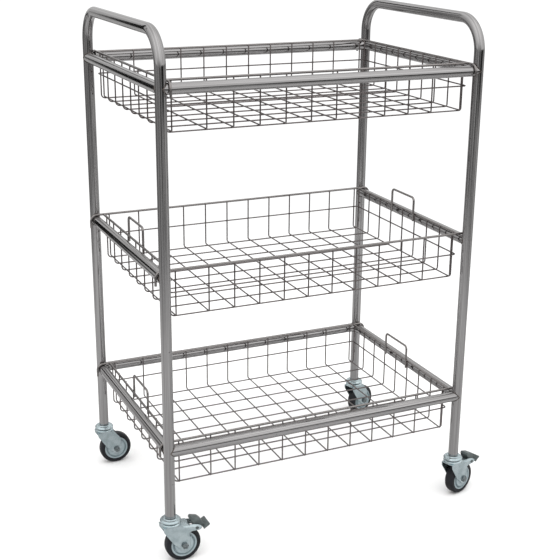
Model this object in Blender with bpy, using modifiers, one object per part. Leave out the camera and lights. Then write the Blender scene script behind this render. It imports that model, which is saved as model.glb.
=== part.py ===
"""Rolling utility cart: two bent end frames of round tube joined by rails, three lift-off wire
baskets that hook over the rails, and four swivel casters, the front two with brake pedals.

Frame: +X along the cart's length, -Y is the front, +Z up.  The origin is on the floor, in the
middle of the four posts.  Lengths are in metres.
"""

import math

import bmesh
import bpy
from mathutils import Matrix, Vector

NAME = "rolling_utility_cart"

# ---- end frames and rails
POST_X = 0.340              # post axis from the middle, along the length
POST_Y = 0.236              # post axis from the middle, front to back
TUBE_R = 0.011              # outer radius of posts, handles and rails
TUBE_WALL = 0.0012
HANDLE_Z = 1.070            # axis of the push handles
HANDLE_BEND = 0.065         # bend radius of the push handles, on the axis
RAIL_Z = {"bottom": 0.248, "middle": 0.6085, "top": 0.969}

# ---- wire baskets
RIM_R = 0.0025              # rim, hook and handle wire
WIRE_R = 0.0015             # mesh and waist wire
POST_SIDE_GAP = 0.001       # between a hooked wire and the posts beside it
SIDE_INSET = 0.0045         # between the side rail's face and the middle baskets' rim axis
BASKET_DEPTH = 0.0955       # rim axis to the upper floor wires' axis
BASKET_BEND = 0.0085        # bend radius of the mesh wires
WAIST_DROP = 0.046          # rim axis to the waist ring's axis
WAIST_CORNER = 0.006
HOOK_TAIL = 0.015           # how far a hook runs down past the rail's axis
NOSE_WIRES = 10             # front-to-back wires between the two end ones
END_GAP_RATIO = 1.27        # end gap of those wires over their regular pitch
CROSS_WIRES = 9             # left-to-right wires, both ends included
WELD_DEPTH = 0.0006         # how far crossing wires sink into each other
BASKET_HANDLE_RISE = 0.038  # handle's axis above the rim's axis
BASKET_HANDLE_LEG = 0.016   # how far the handle's legs run below the rim
BASKET_HANDLE_BEND = 0.008

# ---- casters
CASTER_YAW = {"front_left": 0.0, "back_left": 0.0, "front_right": 19.0, "back_right": 19.0}
BRAKED = ("front_left", "front_right")
WHEEL_R = 0.0375
TYRE_WIDTH = 0.023
RIM_SEAT_R = 0.0295         # radius at which the tyre sits on the wheel core
TRAIL = 0.025               # axle from the swivel axis
AXLE_R = 0.004
FORK_IN = 0.014             # fork legs' inner faces from the middle plane
FORK_WALL = 0.002
HEX_R = 0.0072              # bolt head and nut, across the corners by half
BOLT_HEAD_H = 0.004
NUT_H = 0.0045
BOLT_END = 0.0025           # shank past the nut
HEAD_R = 0.0215             # bearing rings
KINGPIN_R = 0.005
CROWN_CLEAR = 0.011         # top face of the fork's crown plate above the tyre
RING_H = 0.0075
STEM_LENGTH = 0.040         # plug inside the post
PIVOT_REACH = 0.027         # brake pedal's pivot behind the axle
PIVOT_DROP = 0.0135         # and below the crown's top face
PIVOT_R = 0.002
PEDAL_WIDTH = 0.034

GAP = 0.0003                # clearance between fixed neighbours
RUN_GAP = 0.0005            # clearance round a turning piece
WELD_DIST = 0.00001         # points closer than this are one point

FORK_TOP_Z = 2 * WHEEL_R + CROWN_CLEAR
RING_TOP_Z = FORK_TOP_Z + 2 * RING_H + GAP
TUBE_END_Z = RING_TOP_Z + GAP                   # lower end of the posts
PIVOT_X, PIVOT_Z = TRAIL + PIVOT_REACH, FORK_TOP_Z - PIVOT_DROP
RIM_RISE = TUBE_R + RIM_R + GAP                 # rim axis above the rail axis
HOOK_SIDE = TUBE_R + POST_SIDE_GAP + RIM_R      # rim axis beside the post's axis
MESH_CORNER = WIRE_R * math.sqrt(math.pi / 2)   # square section of the round wire's area

STAINLESS = ((0.62, 0.61, 0.59), 1.0, 0.28)
WIRE = ((0.56, 0.55, 0.54), 1.0, 0.32)
ZINC = ((0.68, 0.73, 0.76), 1.0, 0.35)
RUBBER = ((0.02, 0.02, 0.022), 0.0, 0.6)
HUB_GREY = ((0.42, 0.47, 0.49), 0.0, 0.45)
PEDAL_GREY = ((0.20, 0.25, 0.25), 0.0, 0.5)


# ---------------------------------------------------------------- scene and helpers

def clear_scene():
    for obj in list(bpy.data.objects):
        bpy.data.objects.remove(obj, do_unlink=True)


def collection(name):
    made = bpy.data.collections.new(name)
    bpy.context.scene.collection.children.link(made)
    return made


def material(name, look):
    (red, green, blue), metallic, roughness = look
    made = bpy.data.materials.new(name)
    made.use_nodes = True
    shader = made.node_tree.nodes["Principled BSDF"]
    shader.inputs["Base Color"].default_value = (red, green, blue, 1.0)
    shader.inputs["Metallic"].default_value = metallic
    shader.inputs["Roughness"].default_value = roughness
    return made


def finish(obj, name, look, smooth=True):
    """Name the piece, give it its material and shade it."""
    obj.name = name
    obj.data.name = name
    obj.data.materials.clear()
    obj.data.materials.append(material(name, look))
    if smooth:
        obj.data.shade_smooth()
        obj.data.set_sharp_from_angle(angle=math.radians(40))
    return obj


def link(obj, where=None):
    (where or PARTS).objects.link(obj)
    return obj


def guide(obj):
    """Keep a cutter out of the parts: its own collection, wire display, never rendered."""
    for held in list(obj.users_collection):
        held.objects.unlink(obj)
    link(obj, CUTTERS)
    obj.hide_render = True
    obj.display_type = "WIRE"
    return obj


def welded(holder):
    """Replace a curve object by its mesh, the loose caps welded to the walls."""
    curve = holder.data
    bpy.context.view_layer.update()
    evaluated = holder.evaluated_get(bpy.context.evaluated_depsgraph_get())
    mesh = bpy.data.meshes.new_from_object(evaluated)
    bm = bmesh.new()
    bm.from_mesh(mesh)
    bmesh.ops.remove_doubles(bm, verts=bm.verts, dist=WELD_DIST)
    bmesh.ops.recalc_face_normals(bm, faces=bm.faces)
    bm.to_mesh(mesh)
    bm.free()
    made = link(bpy.data.objects.new(holder.name, mesh))
    made.matrix_world = holder.matrix_world
    bpy.data.objects.remove(holder, do_unlink=True)
    bpy.data.curves.remove(curve)
    return made


def wire_mesh(name, paths, radius, resolution, cyclic=False, tilt=0.0):
    """Round wires along point paths, as one mesh object with welded caps."""
    curve = bpy.data.curves.new(name, "CURVE")
    curve.dimensions = "3D"
    curve.bevel_depth = radius
    curve.bevel_resolution = resolution
    curve.use_fill_caps = not cyclic
    for path in paths:
        spline = curve.splines.new("POLY")
        spline.points.add(len(path) - 1)
        for point, place in zip(spline.points, path):
            point.co = (*place, 1.0)
            point.tilt = tilt
        spline.use_cyclic_u = cyclic
    return welded(link(bpy.data.objects.new(name, curve)))


def cylinder(name, radius, length, sides, place, axis="Z"):
    bpy.ops.mesh.primitive_cylinder_add(vertices=sides, radius=radius, depth=length)
    obj = bpy.context.active_object
    obj.name = name
    for held in list(obj.users_collection):
        held.objects.unlink(obj)
    link(obj)
    turn = {"Z": Matrix(), "X": Matrix.Rotation(math.pi / 2, 4, "Y"),
            "Y": Matrix.Rotation(math.pi / 2, 4, "X")}[axis]
    obj.data.transform(Matrix.Translation(place) @ turn)
    return obj


def turned(name, profile, sides, axis="Z"):
    """A closed (radius, height) profile turned about its axis; the list runs down the outside."""
    mesh = bpy.data.meshes.new(name)
    points = [(radius, 0.0, height) for radius, height in profile]
    count = len(points)
    mesh.from_pydata(points, [(i, (i + 1) % count) for i in range(count)], [])
    obj = link(bpy.data.objects.new(name, mesh))
    screw = obj.modifiers.new("turn", "SCREW")
    screw.steps = screw.render_steps = sides
    screw.use_merge_vertices = True
    screw.merge_threshold = WELD_DIST
    baked = bake(obj)
    if axis == "Y":
        baked.data.transform(Matrix.Rotation(math.pi / 2, 4, "X"))
    return baked


def plate(name, outline, thickness, upright=False):
    """A flat outline extruded about its own plane; upright stands it in the XZ plane."""
    curve = bpy.data.curves.new(name, "CURVE")
    curve.dimensions = "2D"
    curve.fill_mode = "BOTH"
    curve.extrude = thickness / 2
    spline = curve.splines.new("POLY")
    spline.points.add(len(outline) - 1)
    for point, (u, v) in zip(spline.points, outline):
        point.co = (u, v, 0.0, 1.0)
    spline.use_cyclic_u = True
    made = welded(link(bpy.data.objects.new(name, curve)))
    if upright:
        made.data.transform(Matrix.Rotation(math.pi / 2, 4, "X"))
    return made


def bake(obj):
    """Replace an object by its evaluated mesh."""
    bpy.context.view_layer.update()
    evaluated = obj.evaluated_get(bpy.context.evaluated_depsgraph_get())
    mesh = bpy.data.meshes.new_from_object(evaluated)
    made = link(bpy.data.objects.new(obj.name, mesh))
    made.matrix_world = obj.matrix_world
    bpy.data.objects.remove(obj, do_unlink=True)
    return made


def boolean(target, others, operation):
    """Join or cut a piece with the others, which are used up."""
    for other in others:
        step = target.modifiers.new(operation.lower(), "BOOLEAN")
        step.operation = operation
        step.solver = "EXACT"
        step.object = guide(other)
    baked = bake(target)
    for other in others:
        bpy.data.objects.remove(other, do_unlink=True)
    return baked


def tidy(obj):
    """Merge the slivers that a Boolean leaves."""
    bm = bmesh.new()
    bm.from_mesh(obj.data)
    bmesh.ops.remove_doubles(bm, verts=bm.verts, dist=0.000002)
    bmesh.ops.dissolve_degenerate(bm, edges=bm.edges, dist=0.000002)
    bm.to_mesh(obj.data)
    bm.free()
    return obj


def arc(centre, toward_start, toward_end, radius, steps):
    """Points on a quarter circle that leaves along one unit vector and arrives along another."""
    centre, start, end = Vector(centre), Vector(toward_start), Vector(toward_end)
    angles = [math.pi / 2 * i / steps for i in range(steps + 1)]
    return [centre + radius * (start * math.cos(a) + end * math.sin(a)) for a in angles]


# ---------------------------------------------------------------- end frames and rails

def end_frame_path(x, foot_z):
    """Up one post, over the push handle and down the other post."""
    inner = POST_Y - HANDLE_BEND
    bend_z = HANDLE_Z - HANDLE_BEND
    path = [Vector((x, -POST_Y, foot_z))]
    path += arc((x, -inner, bend_z), (0, -1, 0), (0, 0, 1), HANDLE_BEND, 5)
    path += arc((x, inner, bend_z), (0, 0, 1), (0, 1, 0), HANDLE_BEND, 5)
    path.append(Vector((x, POST_Y, foot_z)))
    return path


def end_frame(side, x):
    outer = wire_mesh("frame", [end_frame_path(x, TUBE_END_Z)], TUBE_R, 4)
    bore = wire_mesh("bore", [end_frame_path(x, TUBE_END_Z - 0.002)], TUBE_R - TUBE_WALL, 4)
    return finish(boolean(outer, [bore], "DIFFERENCE"), f"{side}_frame_tube", STAINLESS)


def post_cutters(places):
    """Cylinders that saddle a rail's ends onto the posts."""
    return [cylinder("saddle", TUBE_R + GAP, 4 * TUBE_R, 24, place) for place in places]


def long_rail(side, level, y):
    """Front or back rail, its ends saddled to the posts."""
    z = RAIL_Z[level]
    rail = cylinder("rail", TUBE_R, 2 * POST_X, 12, (0, y, z), "X")
    bore = cylinder("bore", TUBE_R - TUBE_WALL, 2 * POST_X + 0.01, 12, (0, y, z), "X")
    cutters = post_cutters([(-POST_X, y, z), (POST_X, y, z)])
    rail = boolean(rail, [bore] + cutters, "DIFFERENCE")
    return finish(tidy(rail), f"{side}_{level}_rail", STAINLESS)


def side_rail(side, level, x):
    """Left or right rail; where a long rail meets the same post, it is coped to that one too."""
    z = RAIL_Z[level]
    rail = cylinder("rail", TUBE_R, 2 * POST_Y, 12, (x, 0, z), "Y")
    bore = cylinder("bore", TUBE_R - TUBE_WALL, 2 * POST_Y + 0.01, 12, (x, 0, z), "Y")
    cutters = post_cutters([(x, -POST_Y, z), (x, POST_Y, z)])
    if level != "middle":
        inward = -math.copysign(1.0, x)
        reach = 3 * TUBE_R
        for y in (-POST_Y, POST_Y):
            cutters.append(cylinder("cope", TUBE_R + GAP, reach, 24,
                                    (x + inward * reach / 2, y, z), "X"))
    rail = boolean(rail, [bore] + cutters, "DIFFERENCE")
    return finish(tidy(rail), f"{side}_{level}_rail", STAINLESS)


def build_frame():
    end_frame("left", -POST_X)
    end_frame("right", POST_X)
    for level in RAIL_Z:
        side_rail("left", level, -POST_X)
        side_rail("right", level, POST_X)
        if level != "middle":
            long_rail("front", level, -POST_Y)
            long_rail("back", level, POST_Y)


# ---------------------------------------------------------------- baskets

def hooked_wire(along, across, half_gauge, z_rail):
    """A rim wire that runs over both rails and bends down past them.

    along is the unit vector it runs on, across its fixed offset, half_gauge the rails' axes.
    """
    along, up = Vector(along), Vector((0, 0, 1))
    left = Vector(across) - along * half_gauge + up * z_rail
    right = Vector(across) + along * half_gauge + up * z_rail
    path = [left - along * RIM_RISE - up * HOOK_TAIL]
    path += arc(left, -along, up, RIM_RISE, 5)
    path += arc(right, up, along, RIM_RISE, 5)
    path.append(right + along * RIM_RISE - up * HOOK_TAIL)
    return path


def rim_size(level):
    """Half length and half width of a rim, on its wires' axes."""
    if level == "top":
        return POST_X - HOOK_SIDE, POST_Y - TUBE_R - SIDE_INSET
    return POST_X - TUBE_R - SIDE_INSET, POST_Y - HOOK_SIDE


def wall_size(level):
    """Half length and half width of the mesh walls, on their wires' axes."""
    half_x, half_y = rim_size(level)
    inset = RIM_R + MESH_CORNER + GAP
    return half_x - inset, half_y - inset


def basket_rim(level):
    half_x, half_y = rim_size(level)
    z = RAIL_Z[level]
    rim_z = z + RIM_RISE
    if level == "top":
        hooked = [hooked_wire((0, 1, 0), (x, 0, 0), POST_Y, z) for x in (-half_x, half_x)]
        plain = [[Vector((-half_x, y, rim_z)), Vector((half_x, y, rim_z))]
                 for y in (-half_y, half_y)]
    else:
        hooked = [hooked_wire((1, 0, 0), (0, y, 0), POST_X, z) for y in (-half_y, half_y)]
        plain = [[Vector((x, -half_y, rim_z)), Vector((x, half_y, rim_z))]
                 for x in (-half_x, half_x)]
    rim = wire_mesh("rim", hooked, RIM_R, 2)
    cross = wire_mesh("cross", plain, RIM_R, 2, tilt=math.pi / 8)
    rim = tidy(boolean(rim, [cross], "UNION"))
    return finish(rim, f"{level}_basket_rim", STAINLESS)


def u_path(along, half, place, top_z, floor_z):
    """Down one wall, across the floor and up the other wall."""
    along, up, place = Vector(along), Vector((0, 0, 1)), Vector(place)
    inner, bend_z = half - BASKET_BEND, floor_z + BASKET_BEND
    path = [place - along * half + up * top_z]
    path += arc(place - along * inner + up * bend_z, -along, -up, BASKET_BEND, 2)
    path += arc(place + along * inner + up * bend_z, -up, along, BASKET_BEND, 2)
    path.append(place + along * half + up * top_z)
    return path


def nose_wire_places(half_x):
    """X places of the front-to-back wires: even inside, wider at both ends."""
    end = half_x - BASKET_BEND
    pitch = 2 * end / (NOSE_WIRES - 1 + 2 * END_GAP_RATIO)
    inner = [(i - (NOSE_WIRES - 1) / 2) * pitch for i in range(NOSE_WIRES)]
    return [-end] + inner + [end]


def cross_wire_places(half_y):
    end = half_y - BASKET_BEND
    return [-end + 2 * end * i / (CROSS_WIRES - 1) for i in range(CROSS_WIRES)]


def basket_mesh(level):
    half_x, half_y = wall_size(level)
    rim_z = RAIL_Z[level] + RIM_RISE
    floor_z = rim_z - BASKET_DEPTH
    drop = 2 * MESH_CORNER - WELD_DEPTH
    upper = [u_path((0, 1, 0), half_y, (x, 0, 0), rim_z, floor_z)
             for x in nose_wire_places(half_x)]
    lower = [u_path((1, 0, 0), half_x, (0, y, 0), rim_z, floor_z - drop)
             for y in cross_wire_places(half_y)]
    mesh = wire_mesh("mesh", upper, MESH_CORNER, 0)
    below = wire_mesh("below", lower, MESH_CORNER, 0)
    mesh = tidy(boolean(mesh, [below], "UNION"))
    return finish(mesh, f"{level}_basket_mesh", WIRE, smooth=False)


def basket_waist(level):
    """The closed ring that runs outside the mesh walls at half height."""
    half_x, half_y = wall_size(level)
    step = MESH_CORNER + GAP + WIRE_R
    half_x, half_y = half_x + step, half_y + step
    z = RAIL_Z[level] + RIM_RISE - WAIST_DROP
    in_x, in_y = half_x - WAIST_CORNER, half_y - WAIST_CORNER
    path = []
    path += arc((in_x, in_y, z), (1, 0, 0), (0, 1, 0), WAIST_CORNER, 3)
    path += arc((-in_x, in_y, z), (0, 1, 0), (-1, 0, 0), WAIST_CORNER, 3)
    path += arc((-in_x, -in_y, z), (-1, 0, 0), (0, -1, 0), WAIST_CORNER, 3)
    path += arc((in_x, -in_y, z), (0, -1, 0), (1, 0, 0), WAIST_CORNER, 3)
    ring = wire_mesh("ring", [path], WIRE_R, 1, cyclic=True)
    return finish(ring, f"{level}_basket_waist_ring", WIRE)


def basket_handle(level, side, sign):
    """A raised loop beside the second wires either side of the middle one."""
    half_x, _ = rim_size(level)
    x = sign * (half_x - 2 * RIM_R - GAP)
    beside = cross_wire_places(wall_size(level)[1])[CROSS_WIRES // 2 + 1]
    leg_y = beside - MESH_CORNER - GAP - RIM_R
    rim_z = RAIL_Z[level] + RIM_RISE
    top_z = rim_z + BASKET_HANDLE_RISE
    in_y, bend_z = leg_y - BASKET_HANDLE_BEND, top_z - BASKET_HANDLE_BEND
    path = [Vector((x, -leg_y, rim_z - BASKET_HANDLE_LEG))]
    path += arc((x, -in_y, bend_z), (0, -1, 0), (0, 0, 1), BASKET_HANDLE_BEND, 3)
    path += arc((x, in_y, bend_z), (0, 0, 1), (0, 1, 0), BASKET_HANDLE_BEND, 3)
    path.append(Vector((x, leg_y, rim_z - BASKET_HANDLE_LEG)))
    loop = wire_mesh("loop", [path], RIM_R, 2)
    return finish(loop, f"{level}_basket_{side}_handle", STAINLESS)


def build_baskets():
    for level in RAIL_Z:
        basket_rim(level)
        basket_mesh(level)
        basket_waist(level)
        if level != "top":
            basket_handle(level, "left", -1)
            basket_handle(level, "right", 1)


# ---------------------------------------------------------------- casters

def caster_stem():
    """Plug in the post, shoulder, kingpin through both rings, and its riveted foot."""
    top = TUBE_END_Z + STEM_LENGTH
    plug_r = TUBE_R - TUBE_WALL - GAP - 0.0002
    foot_top = FORK_TOP_Z - FORK_WALL - RUN_GAP
    profile = [(0.0, top), (plug_r - 0.001, top), (plug_r, top - 0.001),
               (plug_r, RING_TOP_Z + GAP), (KINGPIN_R, RING_TOP_Z + GAP),
               (KINGPIN_R, foot_top), (KINGPIN_R + 0.003, foot_top),
               (KINGPIN_R + 0.0015, foot_top - 0.0025), (0.0, foot_top - 0.0025)]
    return open_turned("stem", profile, 12)


def open_turned(name, profile, sides):
    """A solid turned from a profile that starts and ends on its axis."""
    mesh = bpy.data.meshes.new(name)
    points = [(radius, 0.0, height) for radius, height in profile]
    mesh.from_pydata(points, [(i, i + 1) for i in range(len(points) - 1)], [])
    obj = link(bpy.data.objects.new(name, mesh))
    screw = obj.modifiers.new("turn", "SCREW")
    screw.steps = screw.render_steps = sides
    screw.use_merge_vertices = True
    screw.merge_threshold = WELD_DIST
    return bake(obj)


def upper_ring():
    """Dished bearing ring fixed to the stem."""
    low = FORK_TOP_Z + RING_H + GAP
    high = low + RING_H
    bore = KINGPIN_R + GAP
    profile = [(bore, high), (TUBE_R + 0.002, high), (HEAD_R - 0.002, high - 0.003),
               (HEAD_R, high - 0.005), (HEAD_R, low), (bore, low)]
    return turned("upper_ring", profile, 16)


def fork_ring():
    """Lower bearing ring, pressed into the fork's crown."""
    low, high = FORK_TOP_Z - 0.0005, FORK_TOP_Z + RING_H - RUN_GAP
    bore = KINGPIN_R + RUN_GAP
    profile = [(bore, high), (HEAD_R - 0.003, high), (HEAD_R, high - 0.003),
               (HEAD_R - 0.001, low), (bore, low)]
    return turned("fork_ring", profile, 16)


def leg_outline(braked):
    """One fork leg seen from the side: swept back from the crown to the axle."""
    top = FORK_TOP_Z - 0.0008
    boss = 0.0115
    under = [(TRAIL + boss * math.cos(math.radians(a)), WHEEL_R + boss * math.sin(math.radians(a)))
             for a in (205, 250, 290, 325, 5)]
    front = [(-0.0200, top), (-0.0195, top - 0.006), (TRAIL - 0.0240, WHEEL_R + 0.0065)]
    waist = [(TRAIL + 0.0110, WHEEL_R + 0.0185), (TRAIL + 0.0100, PIVOT_Z - 0.0085)]
    arm = []
    if braked:
        arm = [(PIVOT_X + dx, PIVOT_Z + dz) for dx, dz in (
            (-0.0120, -0.0060), (0.0040, -0.0060), (0.0095, -0.0035), (0.0105, 0.0030),
            (-0.0040, 0.0075), (-0.0210, 0.0105))]
    return front + under + waist + arm + [(0.0190, top)]


def fork(braked):
    """Crown plate, two legs and the lower ring in one pressed piece."""
    width = FORK_IN + FORK_WALL
    crown = [(-0.0205, -0.008), (-0.0190, -width), (0.0180, -width), (0.0205, -0.008),
             (0.0205, 0.008), (0.0180, width), (-0.0190, width), (-0.0205, 0.008)]
    body = plate("crown", crown, FORK_WALL)
    body.data.transform(Matrix.Translation((0, 0, FORK_TOP_Z - FORK_WALL / 2)))
    legs = []
    for sign in (-1, 1):
        leg = plate("leg", leg_outline(braked), FORK_WALL, upright=True)
        leg.data.transform(Matrix.Translation((0, sign * (FORK_IN + FORK_WALL / 2), 0)))
        legs.append(leg)
    body = boolean(body, legs + [fork_ring()], "UNION")
    holes = [cylinder("king_hole", KINGPIN_R + RUN_GAP, 0.02, 12, (0, 0, FORK_TOP_Z)),
             cylinder("axle_hole", AXLE_R + GAP, 0.05, 10, (TRAIL, 0, WHEEL_R), "Y")]
    if braked:
        holes.append(cylinder("pivot_hole", PIVOT_R + RUN_GAP, 0.05, 8,
                              (PIVOT_X, 0, PIVOT_Z), "Y"))
    return tidy(boolean(body, holes, "DIFFERENCE"))


def axle_bolt():
    """Hexagon head outside the near leg, shank through both legs and the nut."""
    outside = FORK_IN + FORK_WALL + GAP
    near, far = -(outside + BOLT_HEAD_H), outside + NUT_H + BOLT_END
    shank = cylinder("shank", AXLE_R, far - near - BOLT_HEAD_H / 2, 12,
                     (TRAIL, (near + BOLT_HEAD_H / 2 + far) / 2, WHEEL_R), "Y")
    head = cylinder("head", HEX_R, BOLT_HEAD_H, 6,
                    (TRAIL, near + BOLT_HEAD_H / 2, WHEEL_R), "Y")
    return tidy(boolean(head, [shank], "UNION"))


def axle_nut():
    place = (TRAIL, FORK_IN + FORK_WALL + GAP + NUT_H / 2, WHEEL_R)
    nut = cylinder("nut", HEX_R, NUT_H, 6, place, "Y")
    bore = cylinder("bore", AXLE_R + GAP, 2 * NUT_H, 12, place, "Y")
    return tidy(boolean(nut, [bore], "DIFFERENCE"))


def wheel_core():
    """Hub, dished web and rim of the plastic wheel."""
    bore, seat = AXLE_R + GAP, RIM_SEAT_R - GAP
    hub, web, rim = FORK_IN - RUN_GAP, 0.0080, TYRE_WIDTH / 2 - 0.0008
    half = [(bore, hub), (0.0200, hub - 0.0015), (0.0230, web), (0.0250, rim), (seat, rim)]
    profile = half + [(radius, -height) for radius, height in reversed(half)]
    core = turned("wheel_core", profile, 16, "Y")
    core.data.transform(Matrix.Translation((TRAIL, 0, WHEEL_R)))
    return core


def tyre():
    """Rubber tyre with a rounded tread."""
    half = TYRE_WIDTH / 2
    side = [(RIM_SEAT_R, half), (WHEEL_R - 0.0030, half), (WHEEL_R, half - 0.0040)]
    profile = side + [(radius, -height) for radius, height in reversed(side)]
    ring = turned("tyre", profile, 24, "Y")
    ring.data.transform(Matrix.Translation((TRAIL, 0, WHEEL_R)))
    return ring


def brake_pedal():
    """Lever between the fork's arms, its wide foot pad and the pivot pin."""
    lever = [(-0.0100, 0.0135), (-0.0115, 0.0205), (-0.0080, 0.0250), (-0.0030, 0.0225),
             (0.0070, 0.0190), (0.0140, 0.0105), (0.0180, 0.0020), (0.0160, -0.0035),
             (-0.0040, -0.0035), (-0.0050, 0.0055)]
    pad = [(0.0132, -0.0028), (0.0151, -0.0064), (0.0295, 0.0017), (0.0276, 0.0051)]
    lever, pad = ([(PIVOT_X + dx, PIVOT_Z + dz) for dx, dz in outline] for outline in (lever, pad))
    body = plate("lever", lever, 2 * (FORK_IN - 0.004), upright=True)
    foot = plate("pad", pad, PEDAL_WIDTH, upright=True)
    pin = cylinder("pin", PIVOT_R, 2 * (FORK_IN + FORK_WALL) + 0.002, 8,
                   (PIVOT_X, 0, PIVOT_Z), "Y")
    return tidy(boolean(body, [foot, pin], "UNION"))


def place(obj, corner, yaw, pivot):
    """Stand a caster piece on its post's axis, its origin on the joint's axis."""
    obj.data.transform(Matrix.Translation(-Vector(pivot)))
    turn = Matrix.Rotation(yaw, 4, "Z")
    obj.matrix_world = Matrix.Translation(corner) @ turn @ Matrix.Translation(pivot)
    return obj


def build_caster(corner_name):
    sign_x = 1 if corner_name.endswith("right") else -1
    sign_y = -1 if corner_name.startswith("front") else 1
    corner = Vector((sign_x * POST_X, sign_y * POST_Y, 0.0))
    yaw = math.radians(CASTER_YAW[corner_name])
    braked = corner_name in BRAKED
    swivel, axle, pivot = (0, 0, 0), (TRAIL, 0, WHEEL_R), (PIVOT_X, 0, PIVOT_Z)
    pieces = [(caster_stem(), "stem", ZINC, swivel), (upper_ring(), "upper_ring", ZINC, swivel),
              (fork(braked), "fork", ZINC, swivel), (axle_bolt(), "axle_bolt", ZINC, axle),
              (axle_nut(), "axle_nut", ZINC, axle), (wheel_core(), "wheel_core", HUB_GREY, axle),
              (tyre(), "tyre", RUBBER, axle)]
    if braked:
        pieces.append((brake_pedal(), "brake_pedal", PEDAL_GREY, pivot))
    for obj, piece, look, origin in pieces:
        finish(obj, f"{corner_name}_caster_{piece}", look)
        place(obj, corner, yaw, origin)


clear_scene()
PARTS = collection(NAME)
CUTTERS = collection("cutters")
build_frame()
build_baskets()
for corner_name in CASTER_YAW:
    build_caster(corner_name)
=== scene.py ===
# %% [markdown]
# # Finishing a rolling utility cart
# The cart is two bent end frames of stainless tube, joined by rails. Three wire baskets hook over
# the rails, and four swivel casters carry it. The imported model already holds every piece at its
# real size and on its real joint, but its tubes have few sides. These cells make the fine surfaces
# and the finishes around it, and never move what is there.

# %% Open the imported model
import math

import bpy
import numpy as np
from mathutils import Matrix, Vector


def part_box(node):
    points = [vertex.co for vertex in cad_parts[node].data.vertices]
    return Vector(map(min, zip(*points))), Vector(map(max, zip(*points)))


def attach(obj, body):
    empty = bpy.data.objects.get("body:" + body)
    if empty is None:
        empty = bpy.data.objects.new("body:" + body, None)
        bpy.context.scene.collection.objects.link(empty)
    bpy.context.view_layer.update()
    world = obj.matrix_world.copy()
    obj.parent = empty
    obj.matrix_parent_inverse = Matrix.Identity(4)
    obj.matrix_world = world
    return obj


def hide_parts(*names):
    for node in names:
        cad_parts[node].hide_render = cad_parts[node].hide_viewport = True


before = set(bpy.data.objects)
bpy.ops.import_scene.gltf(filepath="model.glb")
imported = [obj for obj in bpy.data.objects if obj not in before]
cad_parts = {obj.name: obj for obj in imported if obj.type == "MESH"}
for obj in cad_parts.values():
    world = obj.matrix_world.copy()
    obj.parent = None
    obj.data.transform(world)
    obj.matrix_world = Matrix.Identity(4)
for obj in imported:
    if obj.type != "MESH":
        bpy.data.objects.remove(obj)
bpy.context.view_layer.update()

# %% [markdown]
# ## Sizes
# Places come from the model's own nodes: a caster stem gives the axis of its post, a rail gives
# its height. Only sizes that no box shows, such as a bend radius, are written here, in metres.

# %% Sizes of tube and wire
TUBE_R = 0.011        # posts, rails and push handles
HANDLE_BEND = 0.065   # push handle, on the tube's axis
RIM_R = 0.0025        # rim, hook and grip wire
WIRE_R = 0.0015       # basket grid and waist wire
GRID_BEND = 0.0085    # where a left-to-right wire turns from wall to floor, on the left
SHARP_BEND = 0.0048   # the same wire on the right
NOSE_BEND = 0.0035    # where a front-to-back wire turns
GRIP_BEND = 0.008
WAIST_BEND = 0.006
HOOK_RISE = 0.0138    # rim wire's axis above a rail's axis
HOOK_TAIL = 0.015     # hook's end below the rail's axis
WELD_SINK = 0.0005    # how far welded wires sink into each other
BASKET_DEPTH = 0.0955 # rim wire's axis to the floor wires' axis
WAIST_INSET = 0.001   # waist wire's axis inside the rim wire's axis
LEVELS = ("bottom", "middle", "top")
CORNERS = ("front_left", "front_right", "back_left", "back_right")


def middle(node):
    """Centre of a node's box."""
    low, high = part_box(node)
    return (np.array(low) + np.array(high)) / 2


def half_size(node):
    """Half of a node's box along x, y and z."""
    low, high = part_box(node)
    return (np.array(high) - np.array(low)) / 2


post_x, post_y = np.abs(middle("front_right_caster_stem"))[:2]
post_foot, handle_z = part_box("left_frame_tube")[0].z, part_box("left_frame_tube")[1].z - TUBE_R
rail_z = {level: middle(f"left_{level}_rail")[2] for level in LEVELS}
print(f"posts at {post_x:.4f}, {post_y:.4f}; handles at {handle_z:.3f}")

# %% [markdown]
# ## Camera
# A long lens from the front left, a little above the top basket, looking down. It is made first
# because every later choice of finish is judged through it.

# %% Camera
CAMERA_PLACE = Vector((-0.996, -2.153, 1.283))
CAMERA_TURN, CAMERA_DOWN, CAMERA_ROLL = (math.radians(a) for a in (25.06, 18.43, 0.63))
LENS_MM = 72.2


def aim(turn, down, roll):
    """Camera axes: look along the turned and lowered line, then roll about it."""
    look = Vector((math.sin(turn) * math.cos(down), math.cos(turn) * math.cos(down), -math.sin(down)))
    right = Vector((math.cos(turn), -math.sin(turn), 0.0))
    up = right.cross(look)
    tilted_right = math.cos(roll) * right + math.sin(roll) * up
    tilted_up = math.cos(roll) * up - math.sin(roll) * right
    return Matrix((tilted_right, tilted_up, -look)).transposed().to_4x4()


lens = bpy.data.cameras.new("camera")
lens.lens, lens.sensor_width = LENS_MM, 36.0
lens.clip_start, lens.clip_end = 0.05, 100.0
camera = bpy.data.objects.new("camera", lens)
camera.matrix_world = Matrix.Translation(CAMERA_PLACE) @ aim(CAMERA_TURN, CAMERA_DOWN, CAMERA_ROLL)
bpy.context.scene.collection.objects.link(camera)
bpy.context.scene.camera = camera
print("camera", [round(c, 3) for c in camera.location])

# %% [markdown]
# ## A shader is a sum
# A node tree is easier to read as arithmetic. `Value` wraps an output socket, so `1 - mask * 0.5`
# adds its own Math nodes, and `Graph.node` makes any other node from its settings and inputs.


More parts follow.
